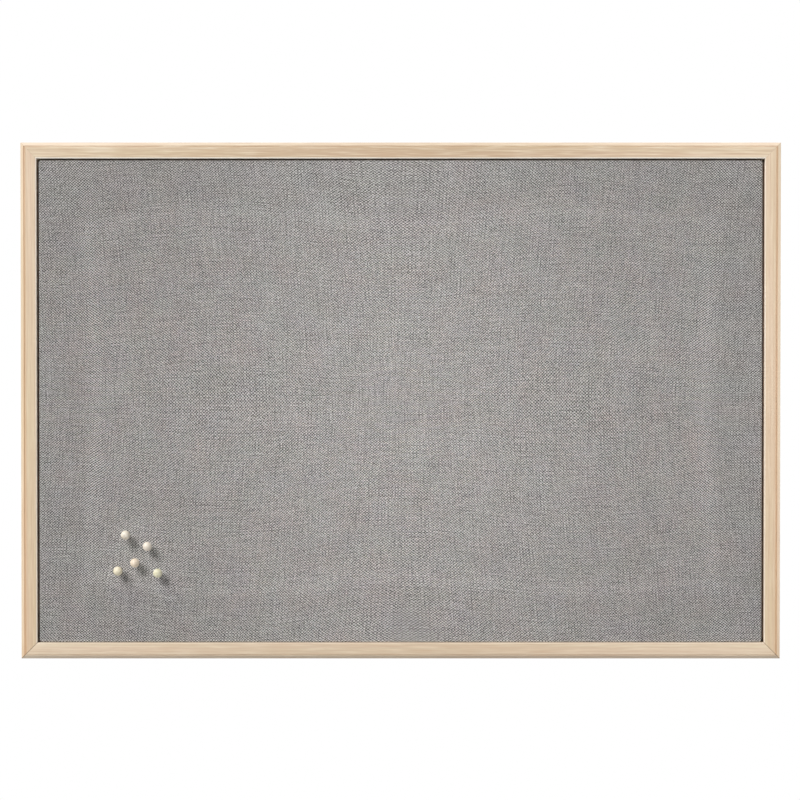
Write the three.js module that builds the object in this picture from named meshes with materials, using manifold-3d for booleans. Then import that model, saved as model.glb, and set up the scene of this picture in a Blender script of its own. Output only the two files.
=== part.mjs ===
// Cloth pin board in a mitred pine frame, with five turned wooden push pins. All sizes in millimetres.
// X runs to the right, Z up, and the board faces -Y.
// The origin is the middle of the frame in the plane of its rear faces, which is the plane of the wall.
import * as THREE from 'three';
import { mergeVertices } from 'three/addons/utils/BufferGeometryUtils.js';
import Module from 'manifold-3d';

const wasm = await Module();
wasm.setup();

// Panel: a soft fibreboard core in a cloth cover whose hem is turned in behind it.
const PANEL_W = 600;
const PANEL_H = 400;
const CORE_T = 8;
const CORE_EDGE_R = 0.4;
const CORE_CORNER_R = 1.2;
const CLOTH_T = 0.8;
const HEM_W = 45;

// The panel stands on the bottom rail and clears the other three.
const SIDE_GAP = 1.7;
const TOP_GAP = 1.2;
const SEAT_GAP = 0.3;

// Frame moulding: a flat face, a rounded fall into a quirk, and a sloping outer rim.
const RAIL_W = 13.3;
const FACE_RECESS = 1.8;
const SIGHT_ARRIS_R = 0.5;
const FALL_W = 0.9;
const FALL_D = 0.6;
const QUIRK_W = 0.4;
const RIM_SINK = 0.15;
const RIM_W = 2.8;
const RIM_SLOPE_DEG = 24;
const RIM_ARRIS_R = 0.6;
const REAR_EASE = 0.5;
const MITRE_GAP = 0.2;

// Hardboard back in a rebate behind the rails.
const REBATE_W = 5;
const BACK_T = 3;
const BACK_INSET = 2.2;
const BACK_EDGE_GAP = 0.5;

// Clearances of layers that lie on each other, and of fasteners in their holes.
const LAY_GAP = 0.2;
const SOCKET_GAP = 0.2;

// Staples that hold the hem to the core, in a row in from the hem's raw edge.
const STAPLE_CROWN = 10;
const STAPLE_T = 0.5;
const STAPLE_WIRE_W = 1;
const STAPLE_COVER = 3;
const STAPLE_RAW_EDGE = 15;
const STAPLE_END_INSET = 70;
const STAPLES_LONG = 4;
const STAPLES_SHORT = 2;

// Foam pads that bond the core to the back, inside the window that the hem leaves.
const PAD_W = 60;
const PAD_H = 25;
const PAD_MARGIN = 35;
const PADS_ACROSS = 3;

// Flat steel points that hold the back in its rebate.
const POINT_W = 6;
const POINT_T = 0.5;
const POINT_TAPER = 3;
const POINT_LAP = 6;
const POINT_COVER = 3;
const POINT_END_INSET = 80;
const POINTS_LONG = 3;
const POINTS_SHORT = 2;

// One V-shaped steel nail across the back of each mitre.
const V_NAIL_T = 0.7;
const V_NAIL_LEG = 5;
const V_NAIL_H = 7;
const V_NAIL_SUNK = 0.3;
const V_NAIL_INSET = 3;
const V_NAIL_HALF_ANGLE_DEG = 42;

// Sawtooth hangers nailed behind the top rail, inside its outermost points.
const HANGER_FROM_POINT = 50;
const HANGER_L = 46;
const HANGER_T = 0.8;
const HANGER_MARGIN = 0.6;
const HANGER_FOOT = 8;
const HANGER_RAMP = 5;
const HANGER_RISE = 2;
const TOOTH_PITCH = 2.4;
const TOOTH_DEPTH = 1.4;
const TOOTH_LAND = 0.1;
const NAIL_R = 0.65;
const NAIL_L = 11;
const NAIL_HEAD_R = 1.7;
const NAIL_HEAD_T = 0.8;
const NAIL_TIP = 2;

// Push pins: the places of their needles from the panel's lower left corner, across and up.
const PIN_PLACES = [[72.1, 89.5], [90.2, 80.1], [79.8, 66.4], [65.8, 59.6], [98.7, 57.9]];
const PIN_HEAD_R = 3.8;
const PIN_HEAD_L = 10.4;
const PIN_DOME = 3.2;
const PIN_BAND = 0.7;
const PIN_SHOULDER = 2.2;
const PIN_NECK_R = 1.6;
const PIN_FOOT_R = 2.3;
const PIN_FOOT_T = 1.2;
const PIN_FOOT_EASE = 0.5;
const PIN_SEAT_GAP = 0.3;
const NEEDLE_R = 0.55;
const NEEDLE_TIP = 3;
const NEEDLE_HEAD_COVER = 5;
const NEEDLE_CORE_COVER = 1.2;

// Facets of the round forms.
const ARC_STEPS = 6;
const EDGE_STEPS = 3;
const HEAD_SIDES = 24;
const SHANK_SIDES = 12;

// Depths along Y, from the wall forwards.
const backRear = -BACK_INSET;
const backFront = backRear - BACK_T;
const shoulder = backFront - LAY_GAP;
const crownRear = backFront - LAY_GAP;
const hemRear = crownRear - STAPLE_T - LAY_GAP;
const coreRear = hemRear - CLOTH_T - LAY_GAP;
const coreFront = coreRear - CORE_T;
const clothFront = coreFront - LAY_GAP - CLOTH_T;
const railDepth = FACE_RECESS - clothFront;
const pinSeat = clothFront - PIN_SEAT_GAP;
const needleTip = coreRear - NEEDLE_CORE_COVER;

// Sizes across the board.
const openingW = PANEL_W + 2 * SIDE_GAP;
const openingH = PANEL_H + TOP_GAP + SEAT_GAP;
const outerW = openingW + 2 * RAIL_W;
const outerH = openingH + 2 * RAIL_W;
const landW = RAIL_W - REBATE_W;
const panelZ = (SEAT_GAP - TOP_GAP) / 2;
const coreInset = CLOTH_T + LAY_GAP;
const windowW = PANEL_W - 2 * HEM_W;
const windowH = PANEL_H - 2 * HEM_W;

// Lengths of what is driven in, and how far a cutting form runs past the face that it opens.
const stapleBite = CORE_T - STAPLE_COVER;
const stapleLeg = crownRear - coreRear + stapleBite;
const needleInHead = PIN_HEAD_L - NEEDLE_HEAD_COVER;
const nailSeat = LAY_GAP + HANGER_T + LAY_GAP;
const overrun = SOCKET_GAP;

const PINE = { color: 0xe6d0b5, roughness: 0.55, metalness: 0 };
const CLOTH = { color: 0x9b9693, roughness: 0.95, metalness: 0 };
const SOFTBOARD = { color: 0xb59a78, roughness: 1, metalness: 0 };
const HARDBOARD = { color: 0x7c5a3c, roughness: 0.8, metalness: 0 };
const STEEL = { color: 0xb4b6b8, roughness: 0.35, metalness: 1 };
const FOAM = { color: 0xe9e7e0, roughness: 0.9, metalness: 0 };
const TURNED_WOOD = { color: 0xf2ead9, roughness: 0.5, metalness: 0 };

function addPiece(parent, name, geometry, look) {
  const piece = new THREE.Mesh(geometry, new THREE.MeshStandardMaterial(look));
  piece.name = name;
  parent.add(piece);
  return piece;
}

function toSolid(geometry) {
  const bare = geometry.clone();
  bare.deleteAttribute('normal');
  bare.deleteAttribute('uv');
  const merged = mergeVertices(bare, 1e-4);
  const vertProperties = new Float32Array(merged.attributes.position.array);
  const triVerts = new Uint32Array(merged.index.array);
  return new wasm.Manifold(new wasm.Mesh({ numProp: 3, vertProperties, triVerts }));
}

function cut(geometry, tools) {
  const solid = tools.reduce((left, tool) => left.subtract(toSolid(tool)), toSolid(geometry));
  const mesh = solid.getMesh();
  const result = new THREE.BufferGeometry();
  result.setAttribute('position', new THREE.BufferAttribute(mesh.vertProperties, 3));
  result.setIndex(new THREE.BufferAttribute(mesh.triVerts, 1));
  result.computeVertexNormals();
  return result;
}

function outlineOf(points) {
  return new THREE.Shape(points.map(([across, up]) => new THREE.Vector2(across, up)));
}

// An outline drawn in X and Z, made thick along Y from its rear face forwards.
function plate(outline, rear, thickness) {
  const solid = new THREE.ExtrudeGeometry(outline, { depth: thickness, bevelEnabled: false });
  return solid.rotateX(Math.PI / 2).translate(0, rear, 0);
}

// An outline drawn in X and Y, made wide along Z about its middle.
function strip(outline, width) {
  const solid = new THREE.ExtrudeGeometry(outline, { depth: width, bevelEnabled: false });
  return solid.translate(0, 0, -width / 2);
}

// A round hole along Y between two depths.
function socket(radius, rear, front) {
  const hole = new THREE.CylinderGeometry(radius, radius, rear - front, SHANK_SIDES);
  return hole.translate(0, (rear + front) / 2, 0);
}

// A round body about Y from [radius, y] points, both ends on the axis.
function turned(profile, sides) {
  return new THREE.LatheGeometry(profile.map(([r, y]) => new THREE.Vector2(r, y)), sides);
}

// Evenly spaced places along a length, symmetric about its middle.
function spread(count, length, endInset) {
  const reach = length / 2 - endInset;
  return Array.from({ length: count }, (_, i) => reach * ((2 * i) / (count - 1) - 1));
}

// Quarter of an ellipse between two points, which leaves the first across or down.
function quarter(start, end, leaves) {
  return Array.from({ length: ARC_STEPS + 1 }, (_, i) => {
    const turn = (i / ARC_STEPS) * (Math.PI / 2);
    const fast = Math.sin(turn);
    const slow = 1 - Math.cos(turn);
    const across = leaves === 'across' ? fast : slow;
    const down = leaves === 'across' ? slow : fast;
    return [start[0] + (end[0] - start[0]) * across, start[1] + (end[1] - start[1]) * down];
  });
}

// The rim's slope from its inner edge to the rail's side, with the arris between the two rounded.
function slopingRim(start) {
  const slope = THREE.MathUtils.degToRad(RIM_SLOPE_DEG);
  const slopeW = RAIL_W - RIM_ARRIS_R * (1 - Math.sin(slope)) - start[0];
  const centre = start[1] + slopeW * Math.tan(slope) + RIM_ARRIS_R * Math.cos(slope);
  const arris = Array.from({ length: ARC_STEPS + 1 }, (_, i) => {
    const turn = slope + (i / ARC_STEPS) * (Math.PI / 2 - slope);
    return [RAIL_W - RIM_ARRIS_R * (1 - Math.sin(turn)), centre - RIM_ARRIS_R * Math.cos(turn)];
  });
  return [start, ...arris];
}

// Section of the moulding as [distance out from the sight edge, depth behind the face].
function mouldingSection() {
  const rimStart = RAIL_W - RIM_W;
  const quirk = rimStart - QUIRK_W;
  const rebateDepth = railDepth + shoulder;
  return [
    [RAIL_W - REAR_EASE, railDepth],
    [REBATE_W, railDepth],
    [REBATE_W, rebateDepth],
    [0, rebateDepth],
    ...quarter([0, SIGHT_ARRIS_R], [SIGHT_ARRIS_R, 0], 'down'),
    ...quarter([quirk - FALL_W, 0], [quirk, FALL_D], 'across'),
    ...slopingRim([rimStart, RIM_SINK]),
    [RAIL_W, railDepth - REAR_EASE],
  ];
}

// A rail along X with its outer edge at z = 0, its sight edge at z = -RAIL_W, and both ends mitred.
function mitredRail(length) {
  const section = outlineOf(mouldingSection().map(([out, depth]) => [depth - railDepth, out - RAIL_W]));
  const rail = new THREE.ExtrudeGeometry(section, { depth: 1, bevelEnabled: false });
  const place = rail.attributes.position;
  const pull = MITRE_GAP / Math.SQRT2;
  for (let i = 0; i < place.count; i += 1) {
    const y = place.getX(i);
    const z = place.getY(i);
    const end = place.getZ(i) * 2 - 1;
    place.setXYZ(i, end * (length / 2 + z - pull), y, z);
  }
  return rail;
}

// Outline of the V nail at an upper right corner. Its arms run along the two rails.
function vNailOutline(clearance) {
  const half = V_NAIL_T / 2 + clearance;
  const leg = V_NAIL_LEG + clearance;
  const cos = Math.cos(THREE.MathUtils.degToRad(V_NAIL_HALF_ANGLE_DEG));
  const sin = Math.sin(THREE.MathUtils.degToRad(V_NAIL_HALF_ANGLE_DEG));
  const alongMitre = [
    [-half / sin, 0],
    [leg * cos - half * sin, leg * sin + half * cos],
    [leg * cos + half * sin, leg * sin - half * cos],
    [half / sin, 0],
    [leg * cos + half * sin, half * cos - leg * sin],
    [leg * cos - half * sin, -leg * sin - half * cos],
  ];
  return outlineOf(alongMitre.map(([along, across]) => [
    (-along - across) / Math.SQRT2 - V_NAIL_INSET,
    (-along + across) / Math.SQRT2 - V_NAIL_INSET,
  ]));
}

function vNail() {
  return plate(vNailOutline(0), -V_NAIL_SUNK, V_NAIL_H);
}

function vNailSlot() {
  return plate(vNailOutline(SOCKET_GAP), overrun, overrun + V_NAIL_SUNK + V_NAIL_H + SOCKET_GAP);
}

// A point in a rail's rebate wall, its sharp end in the wood and its tail over the back.
function pointOutline(clearance) {
  const half = POINT_W / 2 + clearance;
  const tip = clearance - POINT_COVER;
  const neck = tip - POINT_TAPER;
  const tail = -landW - POINT_LAP;
  return outlineOf([[0, tip], [-half, neck], [-half, tail], [half, tail], [half, neck]]);
}

function backPoint() {
  return plate(pointOutline(0), backRear + LAY_GAP + POINT_T, POINT_T);
}

function backPointSlot() {
  const rear = backRear + LAY_GAP + POINT_T + SOCKET_GAP;
  return plate(pointOutline(SOCKET_GAP), rear, POINT_T + 2 * SOCKET_GAP);
}

// Side view of the hanger: two feet, two smooth ramps and a raised middle.
function hangerSide(middle) {
  const ramp = Array.from({ length: ARC_STEPS + 1 }, (_, i) => {
    const t = i / ARC_STEPS;
    return [HANGER_RAMP * (t - 1) - middle, (HANGER_RISE * (1 - Math.cos(Math.PI * t))) / 2];
  });
  const fall = ramp.map(([x, y]) => [-x, y]).reverse();
  const under = [[-HANGER_L / 2, 0], ...ramp, ...fall, [HANGER_L / 2, 0]];
  const over = under.map(([x, y]) => [x, y + HANGER_T]).reverse();
  return outlineOf([...under, ...over]);
}

// The row of notches cut along the hanger's lower edge.
function hangerNotches(middle, edge) {
  const teeth = Math.floor((2 * middle) / TOOTH_PITCH);
  const start = (-teeth * TOOTH_PITCH) / 2;
  const saw = Array.from({ length: teeth }, (_, i) => [
    [start + i * TOOTH_PITCH, edge - TOOTH_LAND],
    [start + (i + 0.5) * TOOTH_PITCH, edge + TOOTH_DEPTH],
  ]).flat();
  const below = edge - TOOTH_DEPTH;
  const rear = HANGER_RISE + HANGER_T + overrun;
  return plate(outlineOf([...saw, [-start, edge - TOOTH_LAND], [-start, below], [start, below]]), rear, rear);
}

function hangerNailPlaces() {
  return [HANGER_FOOT - HANGER_L, HANGER_L - HANGER_FOOT].map((across) => across / 2);
}

function sawtoothHanger() {
  const height = landW - 2 * HANGER_MARGIN;
  const middle = HANGER_L / 2 - HANGER_FOOT - HANGER_RAMP;
  const hole = socket(NAIL_R + SOCKET_GAP, HANGER_T + overrun, -overrun);
  return cut(strip(hangerSide(middle), height), [
    hangerNotches(middle, -height / 2),
    ...hangerNailPlaces().map((x) => hole.clone().translate(x, 0, 0)),
  ]);
}

// A round-headed nail driven towards -Y, with the underside of its head at y = 0.
function hangerNail() {
  return turned([
    [0, -NAIL_L],
    [NAIL_R, NAIL_TIP - NAIL_L],
    [NAIL_R, 0],
    ...quarter([NAIL_HEAD_R, 0], [0, NAIL_HEAD_T], 'down'),
  ], SHANK_SIDES);
}

function hangerNailSocket() {
  return socket(NAIL_R + SOCKET_GAP, overrun, nailSeat - NAIL_L - SOCKET_GAP).translate(0, 0, -landW / 2);
}

// A slab in X and Z with softly turned edges, its rear face at y = 0.
function softSlab(width, height, thickness, edgeR) {
  const x = width / 2 - edgeR - CORE_CORNER_R;
  const z = height / 2 - edgeR - CORE_CORNER_R;
  const outline = new THREE.Shape();
  outline.absarc(x, -z, CORE_CORNER_R, -Math.PI / 2, 0);
  outline.absarc(x, z, CORE_CORNER_R, 0, Math.PI / 2);
  outline.absarc(-x, z, CORE_CORNER_R, Math.PI / 2, Math.PI);
  outline.absarc(-x, -z, CORE_CORNER_R, Math.PI, Math.PI * 1.5);
  const slab = new THREE.ExtrudeGeometry(outline, {
    depth: thickness - 2 * edgeR,
    bevelSize: edgeR,
    bevelThickness: edgeR,
    bevelSegments: EDGE_STEPS,
    curveSegments: EDGE_STEPS,
  });
  return slab.translate(0, 0, edgeR).rotateX(Math.PI / 2);
}

// The core's form, grown all over by what lies on it.
function coreForm(grown) {
  const width = PANEL_W - 2 * coreInset + 2 * grown;
  const height = PANEL_H - 2 * coreInset + 2 * grown;
  return softSlab(width, height, CORE_T + 2 * grown, CORE_EDGE_R + grown).translate(0, coreRear + grown, 0);
}

// Where each staple stands in the panel, and how far it is turned about Y.
function staplePlaces() {
  const row = HEM_W - STAPLE_RAW_EDGE;
  const up = PANEL_H / 2 - row;
  const side = PANEL_W / 2 - row;
  const along = spread(STAPLES_LONG, PANEL_W, STAPLE_END_INSET);
  const beside = spread(STAPLES_SHORT, PANEL_H, STAPLE_END_INSET);
  return [
    ...along.map((x, i) => ({ name: `hem_staple_top_${i + 1}`, x, z: up, turn: 0 })),
    ...along.map((x, i) => ({ name: `hem_staple_bottom_${i + 1}`, x, z: -up, turn: 0 })),
    ...beside.map((z, i) => ({ name: `hem_staple_left_${i + 1}`, x: -side, z, turn: Math.PI / 2 })),
    ...beside.map((z, i) => ({ name: `hem_staple_right_${i + 1}`, x: side, z, turn: Math.PI / 2 })),
  ];
}

function hemStaple() {
  const outer = STAPLE_CROWN / 2;
  const inner = outer - STAPLE_T;
  const side = outlineOf([
    [-outer, 0],
    [-outer, -stapleLeg],
    [-inner, -stapleLeg],
    [-inner, -STAPLE_T],
    [inner, -STAPLE_T],
    [inner, -stapleLeg],
    [outer, -stapleLeg],
    [outer, 0],
  ]);
  return strip(side, STAPLE_WIRE_W);
}

function stapleSockets() {
  const legX = (STAPLE_CROWN - STAPLE_T) / 2;
  const rear = hemRear + overrun;
  const depth = rear - coreRear + stapleBite + SOCKET_GAP;
  const hole = new THREE.BoxGeometry(STAPLE_T + 2 * SOCKET_GAP, depth, STAPLE_WIRE_W + 2 * SOCKET_GAP);
  hole.translate(0, rear - depth / 2, 0);
  return staplePlaces().flatMap(({ x, z, turn }) => (
    [-legX, legX].map((leg) => hole.clone().translate(leg, 0, 0).rotateY(turn).translate(x, 0, z))
  ));
}

function pinPlaces() {
  return PIN_PLACES.map(([across, up]) => ({ x: across - PANEL_W / 2, z: up - PANEL_H / 2 }));
}

function needleSockets() {
  const hole = socket(NEEDLE_R + SOCKET_GAP, needleTip + SOCKET_GAP, clothFront - overrun);
  return pinPlaces().map(({ x, z }) => hole.clone().translate(x, 0, z));
}

// One cloth over the core's face and edges, with its hem turned in round an open window behind.
function clothCover() {
  const window = new THREE.BoxGeometry(windowW, CLOTH_T + 2 * LAY_GAP, windowH);
  window.translate(0, hemRear - CLOTH_T / 2, 0);
  return cut(coreForm(coreInset), [coreForm(LAY_GAP), window, ...stapleSockets(), ...needleSockets()]);
}

function softboardCore() {
  return cut(coreForm(0), [...stapleSockets(), ...needleSockets()]);
}

function backingBoard() {
  const grow = 2 * (REBATE_W - BACK_EDGE_GAP);
  const sheet = new THREE.BoxGeometry(openingW + grow, BACK_T, openingH + grow);
  return sheet.translate(0, (backRear + backFront) / 2, 0);
}

function foamPad() {
  const rear = backFront - LAY_GAP;
  const front = coreRear + LAY_GAP;
  return new THREE.BoxGeometry(PAD_W, rear - front, PAD_H).translate(0, (rear + front) / 2, 0);
}

// Domed knob on a neck that flares to a foot, with a blind bore for its needle.
// Its seat is at y = 0 and its dome towards -Y.
function pinHead() {
  const boreR = NEEDLE_R + SOCKET_GAP;
  const boreEnd = -needleInHead - SOCKET_GAP;
  const domeEnd = PIN_DOME - PIN_HEAD_L;
  const bandEnd = domeEnd + PIN_BAND;
  const neck = [PIN_NECK_R, bandEnd + PIN_SHOULDER];
  return turned([
    ...quarter([0, -PIN_HEAD_L], [PIN_HEAD_R, domeEnd], 'across'),
    ...quarter([PIN_HEAD_R, bandEnd], neck, 'down'),
    ...quarter(neck, [PIN_FOOT_R, -PIN_FOOT_T], 'down').slice(1),
    ...quarter([PIN_FOOT_R, -PIN_FOOT_EASE], [PIN_FOOT_R - PIN_FOOT_EASE, 0], 'down'),
    [boreR, 0],
    [boreR, boreEnd],
    [0, boreEnd],
  ], HEAD_SIDES);
}

function pinNeedle() {
  const tip = needleTip - pinSeat;
  return turned([
    [0, -needleInHead],
    [NEEDLE_R, -needleInHead],
    [NEEDLE_R, tip - NEEDLE_TIP],
    [0, tip],
  ], SHANK_SIDES);
}

function addHanger(rail, hand, x) {
  addPiece(rail, `sawtooth_hanger_${hand}`, sawtoothHanger(), STEEL).position.set(x, LAY_GAP, -landW / 2);
  hangerNailPlaces().forEach((offset, i) => {
    const nail = addPiece(rail, `hanger_nail_${hand}_${i + 1}`, hangerNail(), STEEL);
    nail.position.set(x + offset, nailSeat, -landW / 2);
  });
}

// A rail with the points driven into it, slotted at both ends for its corner nails.
function addRail(parent, { name, side, length, points, hangers = [] }) {
  const rail = new THREE.Group();
  parent.add(rail);
  const nails = hangers.flatMap((x) => hangerNailPlaces().map((offset) => x + offset));
  const body = cut(mitredRail(length), [
    vNailSlot().translate(length / 2, 0, 0),
    vNailSlot().rotateY(-Math.PI / 2).translate(-length / 2, 0, 0),
    ...points.map((x) => backPointSlot().translate(x, 0, 0)),
    ...nails.map((x) => hangerNailSocket().translate(x, 0, 0)),
  ]);
  addPiece(rail, name, body, PINE);
  points.forEach((x, i) => {
    addPiece(rail, `back_point_${side}_${i + 1}`, backPoint(), STEEL).position.set(x, 0, 0);
  });
  hangers.forEach((x) => addHanger(rail, x < 0 ? 'left' : 'right', x));
  return rail;
}

function addFrame(parent) {
  const long = { length: outerW, points: spread(POINTS_LONG, outerW, POINT_END_INSET) };
  const short = { length: outerH, points: spread(POINTS_SHORT, outerH, POINT_END_INSET) };
  const hangers = spread(2, outerW, POINT_END_INSET + HANGER_FROM_POINT);
  const top = addRail(parent, { name: 'top_rail', side: 'top', hangers, ...long });
  const bottom = addRail(parent, { name: 'bottom_rail', side: 'bottom', ...long });
  const left = addRail(parent, { name: 'left_stile', side: 'left', ...short });
  const right = addRail(parent, { name: 'right_stile', side: 'right', ...short });
  top.position.z = outerH / 2;
  bottom.position.z = -outerH / 2;
  bottom.rotation.y = Math.PI;
  left.position.x = -outerW / 2;
  left.rotation.y = -Math.PI / 2;
  right.position.x = outerW / 2;
  right.rotation.y = Math.PI / 2;
}

function addCornerNails(parent) {
  const corners = [
    { name: 'top_right', x: outerW / 2, z: outerH / 2, turn: 0 },
    { name: 'top_left', x: -outerW / 2, z: outerH / 2, turn: -Math.PI / 2 },
    { name: 'bottom_left', x: -outerW / 2, z: -outerH / 2, turn: Math.PI },
    { name: 'bottom_right', x: outerW / 2, z: -outerH / 2, turn: Math.PI / 2 },
  ];
  corners.forEach(({ name, x, z, turn }) => {
    const nail = addPiece(parent, `corner_nail_${name}`, vNail(), STEEL);
    nail.position.set(x, 0, z);
    nail.rotation.y = turn;
  });
}

function addPads(panel) {
  spread(PADS_ACROSS, windowW, PAD_MARGIN + PAD_W / 2).forEach((x, i) => {
    spread(2, windowH, PAD_MARGIN + PAD_H / 2).forEach((z) => {
      const pad = addPiece(panel, `foam_pad_${z < 0 ? 'lower' : 'upper'}_${i + 1}`, foamPad(), FOAM);
      pad.position.set(x, 0, z);
    });
  });
}

function addPins(panel) {
  pinPlaces().forEach(({ x, z }, i) => {
    const pin = new THREE.Group();
    pin.position.set(x, pinSeat, z);
    panel.add(pin);
    addPiece(pin, `push_pin_${i + 1}_head`, pinHead(), TURNED_WOOD);
    addPiece(pin, `push_pin_${i + 1}_needle`, pinNeedle(), STEEL);
  });
}

function addPanel(parent) {
  const panel = new THREE.Group();
  panel.position.z = panelZ;
  parent.add(panel);
  addPiece(panel, 'cloth_cover', clothCover(), CLOTH);
  addPiece(panel, 'softboard_core', softboardCore(), SOFTBOARD);
  staplePlaces().forEach(({ name, x, z, turn }) => {
    const staple = addPiece(panel, name, hemStaple(), STEEL);
    staple.position.set(x, crownRear, z);
    staple.rotation.y = turn;
  });
  addPads(panel);
  addPins(panel);
}

const board = new THREE.Group();
addFrame(board);
addCornerNails(board);
addPanel(board);
addPiece(board, 'backing_board', backingBoard(), HARDBOARD);

export default board;
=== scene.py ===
import math

import bmesh
import bpy
import numpy as np
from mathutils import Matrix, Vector, noise


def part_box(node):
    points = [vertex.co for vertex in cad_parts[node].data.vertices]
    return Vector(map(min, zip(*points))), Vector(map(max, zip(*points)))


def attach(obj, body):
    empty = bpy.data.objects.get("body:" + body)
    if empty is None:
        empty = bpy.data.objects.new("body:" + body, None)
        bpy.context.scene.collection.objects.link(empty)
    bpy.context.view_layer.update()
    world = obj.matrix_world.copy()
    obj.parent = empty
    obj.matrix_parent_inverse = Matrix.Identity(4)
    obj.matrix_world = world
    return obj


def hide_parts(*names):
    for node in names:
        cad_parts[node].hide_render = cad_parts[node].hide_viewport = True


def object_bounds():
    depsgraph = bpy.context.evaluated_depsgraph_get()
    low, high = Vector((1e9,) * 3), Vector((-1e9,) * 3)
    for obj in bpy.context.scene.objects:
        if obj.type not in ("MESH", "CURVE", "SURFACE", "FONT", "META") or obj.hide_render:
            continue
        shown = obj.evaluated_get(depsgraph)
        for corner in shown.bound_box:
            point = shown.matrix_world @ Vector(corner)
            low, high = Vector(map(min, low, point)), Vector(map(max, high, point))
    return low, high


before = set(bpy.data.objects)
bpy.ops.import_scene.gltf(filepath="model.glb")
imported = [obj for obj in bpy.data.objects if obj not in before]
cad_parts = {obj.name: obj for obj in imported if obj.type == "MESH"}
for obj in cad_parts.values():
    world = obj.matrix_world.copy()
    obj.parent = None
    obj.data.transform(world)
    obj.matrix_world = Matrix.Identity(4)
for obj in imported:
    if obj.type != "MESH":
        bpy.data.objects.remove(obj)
cad_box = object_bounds()
MM = 0.001

# Moulding of the frame, in millimetres: out from the sight edge, and in behind the face.
RAIL_W = 13.3
RAIL_D = 17.9
SIGHT_ARRIS_R = 0.5
FALL_W = 0.9
FALL_D = 0.6
QUIRK_W = 0.4
RIM_SINK = 0.15
RIM_W = 2.8
RIM_SLOPE = math.radians(24)
RIM_ARRIS_R = 0.6
REAR_EASE = 0.5
REBATE_W = 5.0
REBATE_D = 12.5
MITRE_GAP = 0.04
MITRE_EASE = 0.05
MITRE_BAND = 0.5
HIGH_MITRE_DIRT = 0.15

# Cloth: its wrap round the panel's edge, its hem, the raised line over the hem's raw edge, and its mesh.
EDGE_R = 1.1
CORNER_R = 1.2
CLOTH_T = 0.8
HEM_W = 45.0
HEM_CORNER_R = 0.8
RIDGE_IN = 48.0
RIDGE_H = 0.10
RIDGE_S = 4.0
CREST_W = 16.0
WAVE_H = 0.10
WAVE_L = 55.0
FLAT_EDGE = 12.0
PIN_DIMPLE = 0.3
PIN_DIMPLE_AREA = 5.0
PIN_NEARNESS = 15.0
FINE_STEP = 2.0
COARSE_STEP = 6.0
FINE_BAND = 106.0

# Plain weave: thread spacing, how far the stretched threads bow and lean, and where that sets in.
WARP = 1.25
WEFT = 1.08
FLECK = 0.75
BOW_WEFT = 5.5
BOW_LENGTH = 288.0
BOW_WARP = 8.0
BOW_SPAN = 150.0
BOW_FROM_X = 40.0
BOW_FROM_Z = 35.0
LEAN = 0.25
LEAN_FROM = 25.0

# Paler cloth: painted light where it is turned into the shaded gap and along its shaded low edge, and how
# much paler it is round the pins.
PALER_TURNED_IN = 1.1
PALER_LOW_EDGE = 0.5
PALER_NEAR_PINS = 0.12

# Push pins: a domed knob on a neck that flares to a foot.
HEAD_R = 3.8
HEAD_L = 10.4
HEAD_DOME = 3.8
HEAD_BAND = 0.4
SHOULDER = 1.9
NECK_R = 1.6
FOOT_R = 2.3
FOOT_T = 1.2
FOOT_EASE = 0.5
BORE_R = 0.65
BORE_L = 6.2
PINS = 5

# Steel: the needles' points, and the nails of the hangers.
NEEDLE_TIP = 3.0
NAIL_R = 0.65
NAIL_TIP = 2.0
NAIL_HEAD_T = 0.8

# Studio: a key lamp from the upper left, a fill lamp behind, a strip lamp at the right, and a pale sky.
KEY_FROM = Vector((-0.9, -1.02, 1.09))
KEY_STRENGTH = 3.10
KEY_ANGLE = math.radians(27)
FILL_FROM = Vector((0.0, 1.0, 0.0))
FILL_STRENGTH = 1.6
FILL_ANGLE = math.radians(20)
STRIP_AT = Vector((0.52, -0.02, 0.0))
STRIP_SIZE = (0.05, 0.50)
STRIP_POWER = 0.50
SKY_LOW = 0.20
SKY_HIGH = 0.44
FLOOR_SIZE = 1.2
FLOOR_Z = -0.80

# Camera, which looks down a little and aims just beside the middle of the frame's face.
CAMERA_OFF = 2.2
CAMERA_LENS = 119.42
CAMERA_SENSOR = 36
CAMERA_TILT = math.radians(1.05)
CAMERA_AIM = Vector((-0.00056, -RAIL_D * MM, 0.0008))

# Meshes: the angle of a hard edge, and how far a foam pad is waisted.
HARD_EDGE = math.radians(38)
PAD_WAIST = 0.35


# Mesh helpers

def link(name, mesh):
    piece = bpy.data.objects.new(name, mesh)
    bpy.context.scene.collection.objects.link(piece)
    return piece


def mesh_of(name, points, faces):
    """A mesh from points in millimetres, smooth but for its hard edges, with its faces turned out."""
    mesh = bpy.data.meshes.new(name)
    mesh.from_pydata([Vector(p) * MM for p in points], [], faces)
    work = bmesh.new()
    work.from_mesh(mesh)
    bmesh.ops.recalc_face_normals(work, faces=work.faces)
    work.to_mesh(mesh)
    work.free()
    mesh.shade_smooth()
    mesh.set_sharp_from_angle(angle=HARD_EDGE)
    return mesh


def add_vectors(mesh, name, values):
    layer = mesh.attributes.new(name, "FLOAT_VECTOR", "POINT")
    layer.data.foreach_set("vector", np.asarray(values, np.float32).ravel())


def stand_for(piece, node, body):
    """Puts a piece in the place of a CAD node."""
    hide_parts(node)
    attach(piece, body)
    return piece


def box_mm(node):
    low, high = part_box(node)
    return low / MM, high / MM


def smoothstep(low, high, x):
    t = min(max((x - low) / (high - low), 0.0), 1.0)
    return t * t * (3 - 2 * t)


def quarter(start, end, leaves, steps=10):
    """Quarter of an ellipse between two points, which leaves the first across or down."""
    points = []
    for i in range(steps + 1):
        turn = i / steps * math.pi / 2
        fast, slow = math.sin(turn), 1 - math.cos(turn)
        across, down = (fast, slow) if leaves == "across" else (slow, fast)
        points.append((
            start[0] + (end[0] - start[0]) * across,
            start[1] + (end[1] - start[1]) * down,
        ))
    return points


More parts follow.
